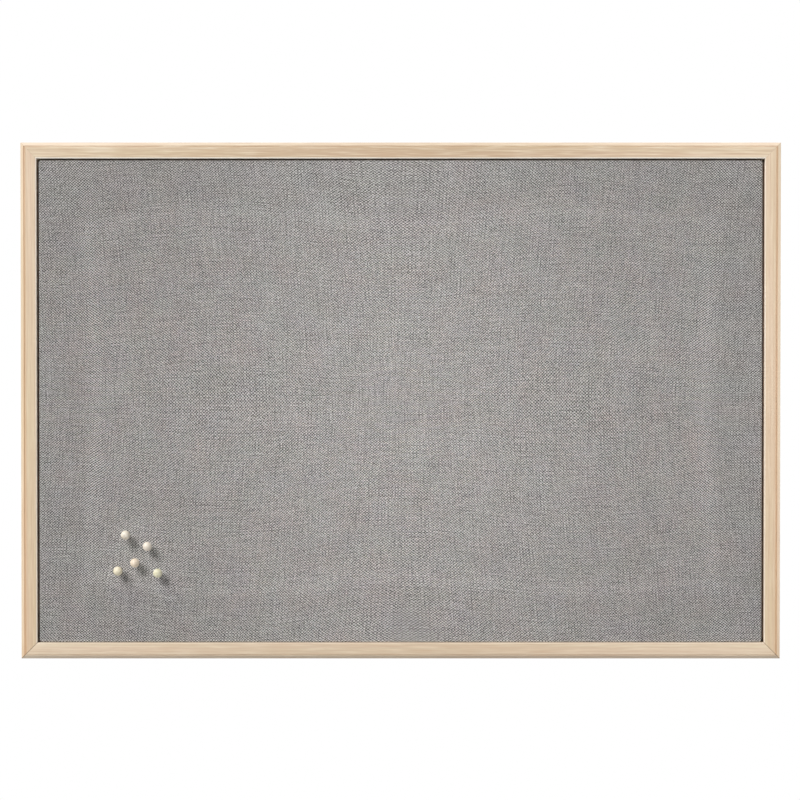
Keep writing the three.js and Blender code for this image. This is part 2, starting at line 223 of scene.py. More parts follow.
def turned(name, profile, axis, seed=0.0, sides=48):
    """A round body about Y from (radius, y) points, the first and last of which lie on the axis."""
    x, seat, z = axis
    rings = profile[1:-1]
    points = [(x, seat + profile[0][1], z), (x, seat + profile[-1][1], z)]
    for r, y in rings:
        for k in range(sides):
            turn = 2 * math.pi * k / sides
            points.append((x + r * math.cos(turn), seat + y, z + r * math.sin(turn)))
    last = 2 + (len(rings) - 1) * sides
    faces = []
    for k in range(sides):
        after = (k + 1) % sides
        faces.append((0, 2 + k, 2 + after))
        faces.append((1, last + after, last + k))
        for row in range(2, last, sides):
            faces.append((row + k, row + sides + k, row + sides + after, row + after))
    mesh = mesh_of(name, points, faces)
    grain = [((py - seat) * MM + seed, (px - x) * MM, (pz - z) * MM) for px, py, pz in points]
    add_vectors(mesh, "grain", grain)
    return link(name, mesh)


# Frame

def sloping_rim(out, deep, steps=8):
    """The rim's slope from its inner edge to the rail's side, with the arris rounded."""
    slope_w = RAIL_W - RIM_ARRIS_R * (1 - math.sin(RIM_SLOPE)) - out
    centre = deep + slope_w * math.tan(RIM_SLOPE) + RIM_ARRIS_R * math.cos(RIM_SLOPE)
    points = [(out, deep)]
    for i in range(steps + 1):
        turn = RIM_SLOPE + i / steps * (math.pi / 2 - RIM_SLOPE)
        points.append((RAIL_W - RIM_ARRIS_R * (1 - math.sin(turn)), centre - RIM_ARRIS_R * math.cos(turn)))
    return points


def moulding():
    """Section of a rail as (out from the sight edge, in behind the face)."""
    rim = RAIL_W - RIM_W
    quirk = rim - QUIRK_W
    return [
        (RAIL_W - REAR_EASE, RAIL_D),
        (REBATE_W, RAIL_D),
        (REBATE_W, REBATE_D),
        (0.0, REBATE_D),
        *quarter((0.0, SIGHT_ARRIS_R), (SIGHT_ARRIS_R, 0.0), "down", 6),
        *quarter((quirk - FALL_W, 0.0), (quirk, FALL_D), "across"),
        *sloping_rim(rim, RIM_SINK),
        (RAIL_W, RAIL_D - REAR_EASE),
    ]


def shrunk(section, by):
    """The section moved in by a small amount all round."""
    ring = np.array(section)
    step = np.roll(ring, -1, axis=0) - np.roll(ring, 1, axis=0)
    step /= np.linalg.norm(step, axis=1)[:, None]
    inwards = np.stack([-step[:, 1], step[:, 0]], axis=1)
    return ring + by * inwards


def rail_stations(steps):
    """Cross-sections from end to end, as (share of the half length, setback from there, ease)."""
    ends = [(1.0, 0.0, MITRE_EASE), (1.0, 0.3 * MITRE_BAND, MITRE_EASE / 4), (1.0, MITRE_BAND, 0.0)]
    inner = [(1 - 2 * i / steps, 0.0, 0.0) for i in range(1, steps)]
    mirrored = [(-share, setback, ease) for share, setback, ease in reversed(ends)]
    return ends + inner + mirrored


def make_rail(node, along, out, plank, dark_at, sight_highlight, rim=0.0, quirk_shade=0.0, grey=0.0, steps=50):
    """One mitred rail: its place in the plank, where it is dark, how strong the painted highlight along its
    sight edge is, how strong the painted highlight (above nought) or painted shade (below nought) on its rim
    is, how much painted shade lies in its quirk, and how grey it is. Dirt gathers in low mitres."""
    along, out = Vector(along), Vector(out)
    low, high = box_mm(node)
    reach = max(low.dot(out), high.dot(out))
    half = Vector(cad_box[1]).dot(along) / MM
    pull = MITRE_GAP / math.sqrt(2)
    section, stations = moulding(), rail_stations(steps)
    points, grain, tone, light_and_dirt = [], [], [], []
    for share, setback, ease in stations:
        for o, d in shrunk(section, ease):
            a = share * (half + o - RAIL_W - pull) - math.copysign(setback, share)
            points.append(along * a + out * (reach + o - RAIL_W) + Vector((0, d - RAIL_D, 0)))
            grain.append((a * MM + plank, o * MM, d * MM))
            tone.append((dark_at(a / half), quirk_shade, grey))
            mitre = 1 - smoothstep(0.2 * MITRE_BAND, MITRE_BAND, setback) if abs(share) == 1 else 0.0
            light_and_dirt.append((sight_highlight, rim, mitre * (HIGH_MITRE_DIRT if points[-1].z > 0 else 1.0)))
    n = len(section)
    faces = [tuple(range(n)), tuple(range(len(points) - n, len(points)))]
    for row in range(0, len(points) - n, n):
        for i in range(n):
            j = (i + 1) % n
            faces.append((row + i, row + j, row + n + j, row + n + i))
    mesh = mesh_of(f"pine_{node}", points, faces)
    add_vectors(mesh, "grain", grain)
    add_vectors(mesh, "tone", tone)
    add_vectors(mesh, "light_and_dirt", light_and_dirt)
    return stand_for(link(f"pine_{node}", mesh), node, "board")


def dark_middle(share):
    """Darker wood in the middle of a rail."""
    return 0.90 * (1 - abs(share) ** 1.6)


def dark_foot(share):
    """Darker towards the foot of a stile."""
    return 0.36 - 0.42 * share


def make_frame():
    x, z = Vector((1, 0, 0)), Vector((0, 0, 1))
    # Each rail's sight edge gets a painted highlight, and its rim a painted highlight (above nought) or
    # painted shade (below nought); the stiles get painted shade in the quirk.
    return [
        make_rail("top_rail", x, z, 0.0, dark_middle, sight_highlight=1.4, rim=0.3),
        make_rail("bottom_rail", x, -z, 1.7, dark_middle, sight_highlight=0.2, rim=-0.38, grey=1.0),
        make_rail("left_stile", z, -x, 3.1, dark_foot, sight_highlight=0.8, quirk_shade=1.0),
        make_rail("right_stile", z, x, 4.9, dark_foot, sight_highlight=0.5, rim=0.15, quirk_shade=1.0),
    ]


# Cloth

def weave_lines(limit):
    """Places of the mesh lines across the cloth: close near its edges and wide in the middle."""
    inner = limit - FINE_BAND
    coarse = np.linspace(-inner, inner, round(2 * inner / COARSE_STEP) + 1)
    fine = np.linspace(inner, limit, round(FINE_BAND / FINE_STEP) + 1)[1:]
    return [*(-fine[::-1]), *coarse, *fine]


def thread_place(x, z):
    """Where a point of the face lies in the weave, whose threads bow as the cloth is stretched."""
    hill = -BOW_WEFT * math.cos(2 * math.pi * x / BOW_LENGTH)
    pinch = BOW_WARP * (abs(z) / BOW_SPAN) ** 1.5
    return x - pinch * math.tanh(x / BOW_FROM_X), z - hill * math.tanh(z / BOW_FROM_Z)


class Cover:
    """The cloth as it is laid: a grid over the face, then loops round the edge and in behind."""

    def __init__(self, pin_places):
        low, high = box_mm("cloth_cover")
        self.half = ((high.x - low.x) / 2, (high.z - low.z) / 2)
        self.mid_z = (high.z + low.z) / 2
        self.front, self.rear = low.y, high.y
        self.pins = [(x, z - self.mid_z) for x, z in pin_places]
        self.points, self.thread, self.tone, self.faces = [], [], [], []

    def over_hem(self, s, t):
        """How far outside the line over the hem's raw edge a place in the weave is, each way."""
        return abs(s) - (self.half[0] - RIDGE_IN), abs(t) - (self.half[1] - RIDGE_IN)

    def ridge(self, s, t):
        over_s, over_t = self.over_hem(s, t)
        line_s = math.exp(-((over_s / RIDGE_S) ** 2)) * smoothstep(10, 2, over_t)
        line_t = math.exp(-((over_t / RIDGE_S) ** 2)) * smoothstep(10, 2, over_s)
        return max(line_s, line_t)

    def pale(self, s, t):
        """Painted light: the cloth is palest in the middle of the face, darker towards its sides and ends
        and a little lighter high up, as light falls off; it is also a little darker over the hem.
        """
        at_sides = smoothstep(0, 230, abs(s))
        at_ends = smoothstep(40, 130, abs(t))
        high_up = t / self.half[1]
        on_hem = smoothstep(0, 14, max(self.over_hem(s, t)))
        return (1.01 - 0.15 * at_sides) * (1 - 0.05 * at_ends) * (1 + 0.05 * high_up) * (1 - 0.06 * on_hem)

    def pin_nearness(self, x, z):
        """How near a place is to the pins, where the cloth is made paler."""
        near = sum(math.exp(-((x - px) ** 2 + (z - pz) ** 2) / PIN_NEARNESS**2) for px, pz in self.pins)
        return min(near, 1.0)

    def add(self, x, y, z, s, t):
        """A point of the cloth with its place in the weave, its paleness, which is partly painted light, and
        its threads' lean.
        """
        lean = LEAN * math.tanh(s / LEAN_FROM) * math.tanh(t / LEAN_FROM) * smoothstep(200, 60, abs(t))
        # Painted light: the cloth turned into the gap, and along the rounded low edge, is made paler to lift
        # the shade there.
        turned_in = smoothstep(0.4, 2.0, y - self.front)
        low_edge = smoothstep(self.half[1] - 1.6, self.half[1] - 0.6, -z)
        painted_light_lift = max(PALER_TURNED_IN * turned_in, PALER_LOW_EDGE * low_edge)
        pale = self.pale(s, t) * (1 + painted_light_lift) * (1 + PALER_NEAR_PINS * self.pin_nearness(x, z))
        self.points.append((x, y, z + self.mid_z))
        self.thread.append((s * MM, t * MM, turned_in))
        self.tone.append((self.ridge(s, t), pale, lean))
        return len(self.points) - 1

    def rise(self, x, z, s, t):
        """How far the face stands out: over the hem's edge, in faint waves, and in at each pin."""
        rise = RIDGE_H * self.ridge(s, t) + WAVE_H * noise.noise((x / WAVE_L, z / WAVE_L, 0.3))
        for px, pz in self.pins:
            rise -= PIN_DIMPLE * math.exp(-((x - px) ** 2 + (z - pz) ** 2) / PIN_DIMPLE_AREA)
        inside = min(self.half[0] - abs(x), self.half[1] - abs(z)) - EDGE_R
        return rise * smoothstep(0, FLAT_EDGE, inside)

    def lay_face(self):
        """The flat face. Returns its edge once round, as (anchor, way out, point)."""
        flat = [half - EDGE_R - CORNER_R for half in self.half]
        lines = [[-f - CORNER_R, *weave_lines(f), f + CORNER_R] for f in flat]
        last_i, last_j = len(lines[0]) - 1, len(lines[1]) - 1
        grid = {}
        for i, x in enumerate(lines[0]):
            for j, z in enumerate(lines[1]):
                if i in (0, last_i) and j in (0, last_j):
                    continue
                s, t = thread_place(x, z)
                grid[i, j] = self.add(x, self.front - self.rise(x, z, s, t), z, s, t)
        for i in range(last_i):
            for j in range(last_j):
                square = [(i, j), (i + 1, j), (i + 1, j + 1), (i, j + 1)]
                if all(cell in grid for cell in square):
                    self.faces.append(tuple(grid[cell] for cell in square))

        sides = [
            ((0, -1), [(i, 0) for i in range(1, last_i)], (last_i - 1, 1)),
            ((1, 0), [(last_i, j) for j in range(1, last_j)], (last_i - 1, last_j - 1)),
            ((0, 1), [(i, last_j) for i in range(last_i - 1, 0, -1)], (1, last_j - 1)),
            ((-1, 0), [(0, j) for j in range(last_j - 1, 0, -1)], (1, 1)),
        ]
        edge = []
        for k, (way, cells, inner) in enumerate(sides):
            for i, j in cells:
                share = (way[0] or lines[0][i] / flat[0], way[1] or lines[1][j] / flat[1])
                edge.append((share, way, grid[i, j]))
            following, next_cells, _ = sides[(k + 1) % 4]
            corner = (way[0] + following[0], way[1] + following[1])
            round_corner = []
            for step in (22.5, 45.0, 67.5):
                turn = math.atan2(way[1], way[0]) + math.radians(step)
                out = (math.cos(turn), math.sin(turn))
                x, z = self.beside(corner, out, EDGE_R, CORNER_R)
                round_corner.append((corner, out, self.add(x, self.front, z, *thread_place(x, z))))
            edge += round_corner
            self.faces.append((
                grid[inner], grid[cells[-1]], *[point for _, _, point in round_corner], grid[next_cells[0]],
            ))
        return edge

    def beside(self, anchor, out, inset, radius):
        """A place on the panel's outline, set in from its sides and with its corners rounded."""
        return tuple(anchor[k] * (self.half[k] - inset - radius) + out[k] * radius for k in (0, 1))

    def wrap_section(self):
        """From the face's edge round and in behind: how far in, how deep, and how far along the cloth."""
        turns = [k / 5 * math.pi / 2 for k in range(6)]
        wall = self.rear - self.front - 2 * EDGE_R
        bend = EDGE_R * math.pi / 2
        section = [
            (EDGE_R * (1 - math.sin(a)), self.front + EDGE_R * (1 - math.cos(a)), EDGE_R * a)
            for a in turns[1:]
        ]
        section.append((0.0, self.front + EDGE_R + wall / 2, bend + wall / 2))
        section += [
            (EDGE_R * (1 - math.cos(a)), self.rear - EDGE_R * (1 - math.sin(a)), bend + wall + EDGE_R * a)
            for a in turns
        ]
        hem = np.linspace(EDGE_R, HEM_W, 9)[1:]
        return section + [(inset, self.rear, 2 * bend + wall + inset - EDGE_R) for inset in hem]

    def wrap(self, edge):
        """Loops of cloth from the face's edge round the panel and in behind. Returns how far they run."""
        first = before = [point for _, _, point in edge]
        for inset, y, run in self.wrap_section():
            radius = max(CORNER_R + EDGE_R - inset, HEM_CORNER_R)
            now = []
            for (anchor, out, _), start in zip(edge, first):
                x, z = self.beside(anchor, out, inset, radius)
                s, t, _ = (value / MM for value in self.thread[start])
                now.append(self.add(x, y, z, s + out[0] * run, t + out[1] * run))
            for i in range(len(edge)):
                j = (i + 1) % len(edge)
                self.faces.append((before[i], now[i], now[j], before[j]))
            before = now
        return run


def make_cloth(pin_places):
    cover = Cover(pin_places)
    run = cover.wrap(cover.lay_face())
    mesh = mesh_of("woven_cloth", cover.points, cover.faces)
    add_vectors(mesh, "thread", cover.thread)
    add_vectors(mesh, "tone", cover.tone)
    piece = stand_for(link("woven_cloth", mesh), "cloth_cover", "board")
    thick = piece.modifiers.new("thickness", "SOLIDIFY")
    thick.thickness = CLOTH_T * MM
    thick.offset = -1
    return piece


# Push pins, nails and foam pads

def pin_axis(number):
    """The pin's axis across the board, at the seat of its head."""
    low, high = box_mm(f"push_pin_{number}_head")
    return (low.x + high.x) / 2, high.y, (low.z + high.z) / 2


def make_head(number):
    dome_end = HEAD_DOME - HEAD_L
    band_end = dome_end + HEAD_BAND
    neck = (NECK_R, band_end + SHOULDER)
    profile = [
        *quarter((0.0, -HEAD_L), (HEAD_R, dome_end), "across", 12),
        *quarter((HEAD_R, band_end), neck, "down"),
        *quarter(neck, (FOOT_R, -FOOT_T), "down")[1:],
        *quarter((FOOT_R, -FOOT_EASE), (FOOT_R - FOOT_EASE, 0.0), "down", 5),
        (BORE_R, 0.0),
        (BORE_R, -BORE_L),
        (0.0, -BORE_L),
    ]
    head = turned(f"turned_head_{number}", profile, pin_axis(number), 0.37 * number)
    return stand_for(head, f"push_pin_{number}_head", f"push_pin_{number}")


def make_needle(number):
    node = f"push_pin_{number}_needle"
    low, high = box_mm(node)
    x, _, z = pin_axis(number)
    radius = (high.x - low.x) / 2
    tip = high.y - low.y
    ground = [(radius * (1 - k / 5), tip - NEEDLE_TIP * (1 - k / 5)) for k in range(5)]
    profile = [(0.0, 0.0), (radius, 0.0), *ground, (0.0, tip)]
    needle = turned(f"drawn_needle_{number}", profile, (x, low.y, z), sides=24)
    return stand_for(needle, node, f"push_pin_{number}")


def make_nail(node):
    """A round-headed wire nail, driven forwards into the rail."""
    low, high = box_mm(node)
    seat = high.y - NAIL_HEAD_T
    tip = low.y - seat
    profile = [
        (0.0, tip),
        (NAIL_R, tip + NAIL_TIP),
        (NAIL_R, 0.0),
        *quarter(((high.x - low.x) / 2, 0.0), (0.0, NAIL_HEAD_T), "down", 8),
    ]
    nail = turned(f"wire_{node}", profile, ((low.x + high.x) / 2, seat, (low.z + high.z) / 2), sides=32)
    return stand_for(nail, node, "board")


def make_pad(node):
    """A slip of foam tape, waisted where it is squeezed."""
    low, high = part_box(node)
    centre, half = (low + high) / 2, (high - low) / 2
    work = bmesh.new()
    bmesh.ops.create_cube(work, size=2)
    for v in work.verts:
        v.co *= half
    long_edges = [e for e in work.edges if e.calc_length() > half.y * 3]
    bmesh.ops.subdivide_edges(work, edges=long_edges, cuts=7, use_grid_fill=True)
    through = [e for e in work.edges if abs(e.verts[0].co.y - e.verts[1].co.y) > half.y]
    bmesh.ops.subdivide_edges(work, edges=through, cuts=3, use_grid_fill=True)
    for v in work.verts:
        waist = PAD_WAIST * MM * (1 - (v.co.y / half.y) ** 2)
        v.co.x -= math.copysign(waist, v.co.x) * (abs(v.co.x) > half.x - 1e-6)
        v.co.z -= math.copysign(waist, v.co.z) * (abs(v.co.z) > half.z - 1e-6)
        v.co += centre
    mesh = bpy.data.meshes.new(f"tape_{node}")
    work.to_mesh(mesh)
    work.free()
    piece = stand_for(link(f"tape_{node}", mesh), node, "board")
    return piece


# Materials

class Look:
    """A node material made with short calls."""

    def __init__(self, name):
        self.material = bpy.data.materials.new(name)
        self.material.use_nodes = True
        self.tree = self.material.node_tree
        self.tree.nodes.clear()
        self.shader = self.add("ShaderNodeBsdfPrincipled")
        output = self.add("ShaderNodeOutputMaterial")
        self.tree.links.new(self.shader.outputs[0], output.inputs["Surface"])

    def add(self, kind, **settings):
        node = self.tree.nodes.new(kind)
        for key, value in settings.items():
            setattr(node, key, value)
        return node

    def put(self, socket, value):
        if hasattr(value, "is_output"):
            self.tree.links.new(value, socket)
        else:
            socket.default_value = value

    def set(self, **values):
        for key, value in values.items():
            self.put(self.shader.inputs[key.replace("_", " ")], value)

    def math(self, operation, *values):
        node = self.add("ShaderNodeMath", operation=operation)
        for socket, value in zip(node.inputs, values):
            self.put(socket, value)
        return node.outputs[0]

    def times(self, a, b):
        return self.math("MULTIPLY", a, b)

    def total(self, start, *parts):
        """The start plus each (value, share)."""
        for value, share in parts:
            start = self.math("MULTIPLY_ADD", value, share, start)
        return start

    def vector(self, name):
        return self.add("ShaderNodeAttribute", attribute_name=name).outputs["Vector"]

    def place(self):
        return self.add("ShaderNodeTexCoord").outputs["Object"]

    def split(self, vector):
        node = self.add("ShaderNodeSeparateXYZ")
        self.put(node.inputs[0], vector)
        return node.outputs

    def join(self, x=0.0, y=0.0, z=0.0):
        node = self.add("ShaderNodeCombineXYZ")
        for socket, value in zip(node.inputs, (x, y, z)):
            self.put(socket, value)
        return node.outputs[0]

    def scaled(self, vector, by):
        node = self.add("ShaderNodeVectorMath", operation="MULTIPLY")
        self.put(node.inputs[0], vector)
        self.put(node.inputs[1], by)
        return node.outputs[0]

    def noise(self, vector, scale=1.0, detail=2.0, roughness=0.5):
        node = self.add("ShaderNodeTexNoise")
        self.put(node.inputs["Vector"], vector)
        self.put(node.inputs["Scale"], scale)
        self.put(node.inputs["Detail"], detail)
        self.put(node.inputs["Roughness"], roughness)
        return node.outputs[0]

    def random(self, vector):
        node = self.add("ShaderNodeTexWhiteNoise", noise_dimensions="3D")
        self.put(node.inputs["Vector"], vector)
        return node.outputs["Value"]

    def cells(self, vector, scale):
        node = self.add("ShaderNodeTexVoronoi")
        self.put(node.inputs["Vector"], vector)
        self.put(node.inputs["Scale"], scale)
        return node.outputs

    def span(self, value, low, high, to_low=0.0, to_high=1.0, smooth=False):
        node = self.add("ShaderNodeMapRange")
        node.interpolation_type = "SMOOTHSTEP" if smooth else "LINEAR"
        for socket, number in zip(node.inputs, (value, low, high, to_low, to_high)):
            self.put(socket, number)
        return node.outputs[0]

    def mix(self, factor, a, b):
        node = self.add("ShaderNodeMix", data_type="RGBA")
        self.put(node.inputs["Factor"], factor)
        self.put(node.inputs["A"], a)
        self.put(node.inputs["B"], b)
        return node.outputs["Result"]

    def bump(self, height, distance, strength):
        node = self.add("ShaderNodeBump")
        self.put(node.inputs["Height"], height)
        node.inputs["Distance"].default_value = distance
        node.inputs["Strength"].default_value = strength
        self.tree.links.new(node.outputs[0], self.shader.inputs["Normal"])


def rgb(red, green, blue):
    """An sRGB colour of 0 to 255 as linear values."""
    def linear(c):
        c /= 255
        return c / 12.92 if c <= 0.04045 else ((c + 0.055) / 1.055) ** 2.4
    return (linear(red), linear(green), linear(blue), 1.0)


def pine_look():
    look = Look("pine")
    grain = look.vector("grain")
    dark, quirk_shaded, grey = look.split(look.vector("tone"))
    _, out, deep = look.split(grain)
    broad = look.noise(look.scaled(grain, (7, 230, 230)), detail=3)

    # Growth rings that sway along the rail, wisps, fibres and short dark dashes.
    sway = look.noise(look.scaled(grain, (5, 40, 40)), detail=1)
    rings = look.total(look.times(deep, 900.0), (out, 2 * math.pi / 0.0031), (sway, 11.0))
    late = look.math("POWER", look.span(look.math("SINE", rings), -1, 1), 5.0)
    wisp = look.noise(look.scaled(grain, (34, 720, 720)), detail=2)
    fibre = look.noise(look.scaled(grain, (30, 1700, 1700)), detail=2, roughness=0.6)
    dash = look.span(look.noise(look.scaled(grain, (90, 2600, 2600)), detail=1), 0.66, 0.78)

    # Pale sapwood, and darker heartwood where the rail is dark.
    hue = look.span(look.noise(look.scaled(grain, (4, 110, 110)), detail=2), 0.35, 0.65)
    sapwood = look.mix(hue, rgb(239, 214, 187), rgb(235, 216, 183))
    heartwood = look.mix(hue, rgb(203, 173, 140), rgb(200, 175, 138))
    colour = look.mix(dark, sapwood, heartwood)
    colour = look.mix(look.times(grey, 0.45), colour, rgb(201, 187, 168))
    colour = look.mix(look.span(broad, 0.35, 0.75, 0.0, 0.34), colour, rgb(198, 164, 134))
    colour = look.mix(look.times(late, 0.22), colour, rgb(192, 147, 116))

    # The wisps are strongest on the top rail, and calmer on the stiles, which carry painted shade in the
    # quirk, and where the wood is grey.
    figure = look.total(1.2, (quirk_shaded, -0.70), (grey, -0.60))
    wisp_dark = look.times(look.span(wisp, 0.25, 0.5, 0.42, 0.0), figure)
    wisp_pale = look.times(look.span(wisp, 0.5, 0.75, 0.0, 0.56), figure)
    colour = look.mix(wisp_dark, colour, rgb(199, 163, 132))
    colour = look.mix(wisp_pale, colour, rgb(249, 235, 212))
    colour = look.mix(look.span(fibre, 0.3, 0.7, 0.0, 0.24), colour, rgb(245, 229, 205))
    colour = look.mix(look.times(dash, 0.30), colour, rgb(176, 138, 105))

    # Painted shade along the quirk of the stiles: a warm dark band where the groove lies in shade.
    quirk = (RAIL_W - RIM_W - 1.5 * QUIRK_W) * MM
    from_quirk = look.math("ABSOLUTE", look.math("SUBTRACT", out, quirk))
    ring = look.span(from_quirk, 0.0004, 0.0018, 0.44, 0.0, smooth=True)
    colour = look.mix(look.times(ring, quirk_shaded), colour, rgb(198, 150, 106))

    colour = pine_painted_light_and_dirt(look, colour, out, broad)
    look.set(Base_Color=colour, Roughness=look.span(fibre, 0.25, 0.75, 0.48, 0.62))
    look.bump(look.total(fibre, (late, 0.35)), 0.00006, 0.6)
    return look.material


def pine_painted_light_and_dirt(look, colour, out, broad):
    """A painted highlight along the sight edge, a rubbed outer arris, a painted highlight on a rim above
    nought and painted shade on one below, and dirt in the mitre.
    """
    sight_highlight, rim, mitre = look.split(look.vector("light_and_dirt"))
    # Painted highlight along the sight edge; the outer arris is paled as rubbed wear.
    sight_highlight_mask = look.times(look.span(out, 0.0004, 0.0013, 1.0, 0.0, smooth=True), sight_highlight)
    arris = look.span(out, (RAIL_W - 0.5) * MM, RAIL_W * MM, 0.0, 0.25, smooth=True)
    highlight_and_wear = look.times(look.math("MAXIMUM", sight_highlight_mask, arris), look.span(broad, 0.3, 0.6, 0.6, 1.0))
    colour = look.mix(highlight_and_wear, colour, rgb(253, 246, 234))
    # Painted highlight on the rim where its share is above nought, and painted shade where it is below.
    rim = look.times(look.span(out, (RAIL_W - RIM_W) * MM, (RAIL_W - RIM_W + 0.3) * MM), rim)
    colour = look.mix(rim, colour, rgb(255, 241, 221))
    colour = look.mix(look.times(rim, -1.0), colour, rgb(146, 137, 128))
    return look.mix(look.times(mitre, 0.75), colour, rgb(122, 92, 66))


def fleck_of(look, s, t):
    """Fine flecks in the yarn: each unlike its four neighbours, and none on the whole."""
    i, j = (look.math("FLOOR", look.times(way, 1 / (FLECK * MM))) for way in (s, t))
    fleck = look.random(look.join(i, j, 5.0))
    for side, up in ((-1.0, 0.0), (1.0, 0.0), (0.0, -1.0), (0.0, 1.0)):
        beside = look.random(look.join(look.math("ADD", i, side), look.math("ADD", j, up), 5.0))
        fleck = look.total(fleck, (beside, -0.19))
    return look.math("SUBTRACT", fleck, 0.12)


def slub_of(look, yarn, along, seed):
    """Slubs that come and go along a yarn: each unlike the yarns beside it, and none on the whole."""
    def at(step):
        across = look.times(look.math("ADD", yarn, step), 3.7)
        return look.noise(look.join(across, look.times(along, 45.0), seed), detail=2)
    return look.math("SUBTRACT", look.total(at(0.0), (at(-1.0), -0.3), (at(1.0), -0.3)), 0.2)


def hem_crest(look, s):
    """How much more the weave stands out where the cloth crosses the hem's raw edge at either side."""
    low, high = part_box("cloth_cover")
    line = (high.x - low.x) / 2 - RIDGE_IN * MM
    off_line = look.math("ABSOLUTE", look.math("SUBTRACT", look.math("ABSOLUTE", s), line))
    return look.span(off_line, 0.0, CREST_W * MM, 0.65, 0.0, smooth=True)


def weave_of(look, s, t, lean):
    """The yarns' numbers, their rounds, and how far the warp lies over the weft."""
    drift_u = look.noise(look.join(look.times(s, 60.0), look.times(t, 25.0), 1.0), detail=1)
    drift_v = look.noise(look.join(look.times(s, 25.0), look.times(t, 60.0), 7.0), detail=1)
    u = look.total(look.times(s, 1 / (WARP * MM)), (drift_u, 2.0))
    v = look.total(look.times(t, 1 / (WEFT * MM)), (drift_v, 2.0))
    end, pick = look.math("FLOOR", u), look.math("FLOOR", v)
    turns = [look.times(way, math.pi) for way in (u, v)]
    rounds = [look.math("SINE", turn) for turn in turns]
    skew = look.times(*[look.math("COSINE", turn) for turn in turns])
    return end, pick, rounds, look.total(look.times(*rounds), (skew, lean))


def cloth_tint(look, s, t, light, turned_in):
    """Faint broad tints, least in the pale threads, and a painted warm brown where the edge turns into the
    shaded gap.
    """
    warm = look.noise(look.join(s, t, 3.0), 40, 3)
    green = look.noise(look.join(s, t, 8.0), 35, 3)
    grey = look.mix(look.span(warm, 0.3, 0.7), rgb(168, 160, 156), rgb(164, 160, 160))
    grey = look.mix(look.span(green, 0.35, 0.65, 0.0, 0.45), grey, rgb(160, 163, 156))
    grey = look.mix(look.span(light, 0.5, 2.0, 0.0, 0.6), grey, rgb(161, 161, 160))
    # Painted warm brown on the cloth turned into the shaded gap.
    return look.mix(look.times(turned_in, 0.8), grey, rgb(178, 146, 124))


def cloth_look():
    look = Look("woven_cloth")
    s, t, turned_in = look.split(look.vector("thread"))
    ridge, pale, lean = look.split(look.vector("tone"))
    end, pick, (round_warp, round_weft), over = weave_of(look, s, t, lean)

    # Pale warp over darker weft. Each yarn has slubs and flecks of its own that come and go along it.
    crossing = look.random(look.join(end, pick))
    fibre = look.noise(look.join(s, t), 1500, 1)
    warp = slub_of(look, end, t, 2.0)
    weft = slub_of(look, pick, s, 9.0)
    cloud = look.noise(look.join(s, t, 4.0), 42, 4)
    shares = ((crossing, 0.32), (fibre, 0.30), (cloud, 0.32))
    raised = look.times(over, look.math("ADD", hem_crest(look, s), 1.18))
    light = look.total(1.0 - sum(share for _, share in shares) / 2, (raised, 1.0), *shares)
    light = look.total(light, (warp, 0.92), (weft, 1.10), (fleck_of(look, s, t), 1.3), (ridge, 0.065))
    light = look.total(light, (round_warp, 0.09), (round_weft, 0.11))
    light = look.times(look.math("MINIMUM", look.math("MAXIMUM", light, 0.10), 2.4), pale)
    grey = cloth_tint(look, s, t, light, turned_in)
    look.set(
        Base_Color=look.scaled(grey, look.join(light, light, light)),
        Roughness=look.span(fibre, 0.25, 0.75, 0.86, 0.97),
        Sheen_Weight=0.10,
        Sheen_Roughness=0.5,
        Specular_IOR_Level=0.2,
    )
    look.bump(look.total(look.times(fibre, 0.5), (over, 0.5)), 0.00012, 0.4)
    return look.material


def pin_look(number, pale, shade):
    look = Look(f"pin_wood_{number}")
    grain = look.vector("grain")
    streak = look.noise(look.scaled(grain, (60, 900, 500)), detail=3)
    ring = look.noise(look.scaled(grain, (10, 350, 1100)), detail=2)
    pore = look.span(look.noise(look.scaled(grain, (300, 4200, 4200)), detail=1), 0.66, 0.74)
    colour = look.mix(look.span(streak, 0.35, 0.7), pale, shade)
    colour = look.mix(look.span(ring, 0.55, 0.75, 0.0, 0.30), colour, rgb(205, 184, 150))
    colour = look.mix(look.times(pore, 0.3), colour, rgb(176, 148, 110))
    look.set(Base_Color=colour, Roughness=look.span(streak, 0.3, 0.7, 0.38, 0.52))
    look.bump(streak, 0.00005, 0.5)
    return look.material


def steel_look(name, dull, bright):
    """Steel that is clouded and spangled between a dull and a bright grey."""
    look = Look(name)
    place = look.place()
    spangle = look.split(look.cells(place, 420)["Color"])[0]
    cloud = look.noise(place, 160, 4, 0.6)
    mixed = look.total(look.times(cloud, 0.6), (spangle, 0.4))
    colour = look.mix(mixed, (dull, 1.04 * dull, 1.08 * dull, 1), (bright, 1.01 * bright, 1.03 * bright, 1))
    look.set(Base_Color=colour, Metallic=0.8, Roughness=look.span(cloud, 0.3, 0.7, 0.28, 0.48))
    look.bump(look.noise(place, 900, 3), 0.00003, 0.5)
    return look.material


